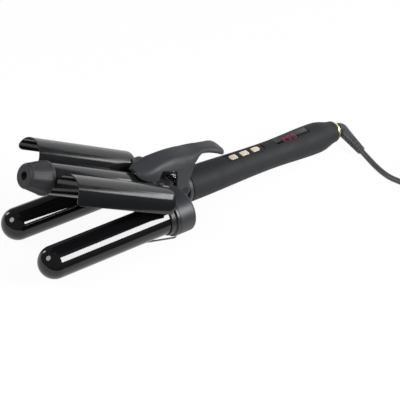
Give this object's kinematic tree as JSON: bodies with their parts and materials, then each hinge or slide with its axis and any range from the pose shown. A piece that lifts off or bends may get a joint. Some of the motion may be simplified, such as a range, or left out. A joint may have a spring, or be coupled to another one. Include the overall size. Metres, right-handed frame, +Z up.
{
  "type": "hair crimper",
  "caption": "Three-barrel hair waver with a sprung upper jaw, thumb lever, key panel, display, folding wire stand and swivelling mains lead.",
  "frame": {"origin": "middle of the footprint of the tool without its lead, on the surface that it rests on", "axes": "+X from the barrels' tips to the lead, +Y across the barrels along the jaw pivot, +Z up"},
  "size_m": [0.522, 0.2333, 0.1154],
  "materials": {
    "barrel_coating": "gloss black ceramic coating",
    "wing_coating": "gloss black ceramic coating",
    "yoke_plastic": "satin",
    "collar_plastic": "matte heat-resistant",
    "lever_plastic": "satin",
    "tip_plastic": "matte",
    "ring_plastic": "gloss",
    "soft_touch": "soft-touch paint",
    "panel_plastic": "gloss",
    "window_plastic": "tinted clear",
    "display_face": "dark display",
    "circuit_board": "solder mask",
    "gold_trim": "pale gold plating",
    "screw_steel": "plain",
    "pin_steel": "blackened",
    "spring_steel": "plain",
    "heater_aluminium": "extruded",
    "key_plastic": "pale champagne",
    "stand_wire": "polished",
    "swivel_plastic": "satin",
    "cord_rubber": "matte",
    "plug_brass": "nickel-plated"
  },
  "bodies": {
    "base": {"yoke": "yoke_plastic", "barrel_near": "barrel_coating", "barrel_far": "barrel_coating", "barrel_collars": "collar_plastic", "barrel_heaters": "heater_aluminium", "pivot_pin": "pin_steel", "spring_bush": "collar_plastic", "clamp_spring": "spring_steel", "front_ring": "ring_plastic", "handle_upper": "soft_touch", "handle_lower": "soft_touch", "control_panel": "panel_plastic", "display_window": "window_plastic", "display_module": "display_face", "control_board": "circuit_board", "end_ring": "gold_trim", "case_screws": "screw_steel"},
    "clamp": {"lever": "lever_plastic", "jaw_bridge": "yoke_plastic", "wing_near": "wing_coating", "wing_far": "wing_coating", "centre_barrel": "barrel_coating", "centre_heater": "heater_aluminium", "cool_tip": "tip_plastic", "tip_screw": "screw_steel", "lever_screws": "screw_steel"},
    "front_key": {"key_front": "key_plastic"},
    "middle_key": {"key_middle": "key_plastic"},
    "rear_key": {"key_rear": "key_plastic"},
    "stand": {"wire_stand": "stand_wire"},
    "lead": {"swivel_stem": "swivel_plastic", "strain_relief": "cord_rubber", "cord": "cord_rubber", "cord_coil": "cord_rubber", "cord_tail": "cord_rubber", "plug_body": "cord_rubber", "plug_pins": "plug_brass"}
  },
  "joints": [
    {"name": "jaw_hinge", "type": "hinge", "parent": "base", "child": "clamp", "pos_m": [-0.02249, 0, 0.03132], "axis": [0, 1, 0], "range_deg": [-27, 6], "stiffness_Nm_per_rad": 0.1, "springref_deg": -34.38},
    {"name": "stand_hinge", "type": "hinge", "parent": "base", "child": "stand", "pos_m": [-0.04909, 0, 0.00602], "axis": [0, 1, 0], "range_deg": [-70, 0]},
    {"name": "lead_swivel", "type": "hinge", "parent": "base", "child": "lead", "pos_m": [0.19834, 0, 0.01608], "axis": [0.9997, 0, -0.0262], "continuous": true},
    {"name": "front_key_press", "type": "slide", "parent": "base", "child": "front_key", "axis": [0.0262, 0, 0.9997], "range_m": [-0.0004, 0], "stiffness_N_per_m": 1200, "springref_m": 0.0003},
    {"name": "middle_key_press", "type": "slide", "parent": "base", "child": "middle_key", "axis": [0.0262, 0, 0.9997], "range_m": [-0.0004, 0], "stiffness_N_per_m": 1200, "springref_m": 0.0003},
    {"name": "rear_key_press", "type": "slide", "parent": "base", "child": "rear_key", "axis": [0.0262, 0, 0.9997], "range_m": [-0.0004, 0], "stiffness_N_per_m": 1200, "springref_m": 0.0003}
  ]
}
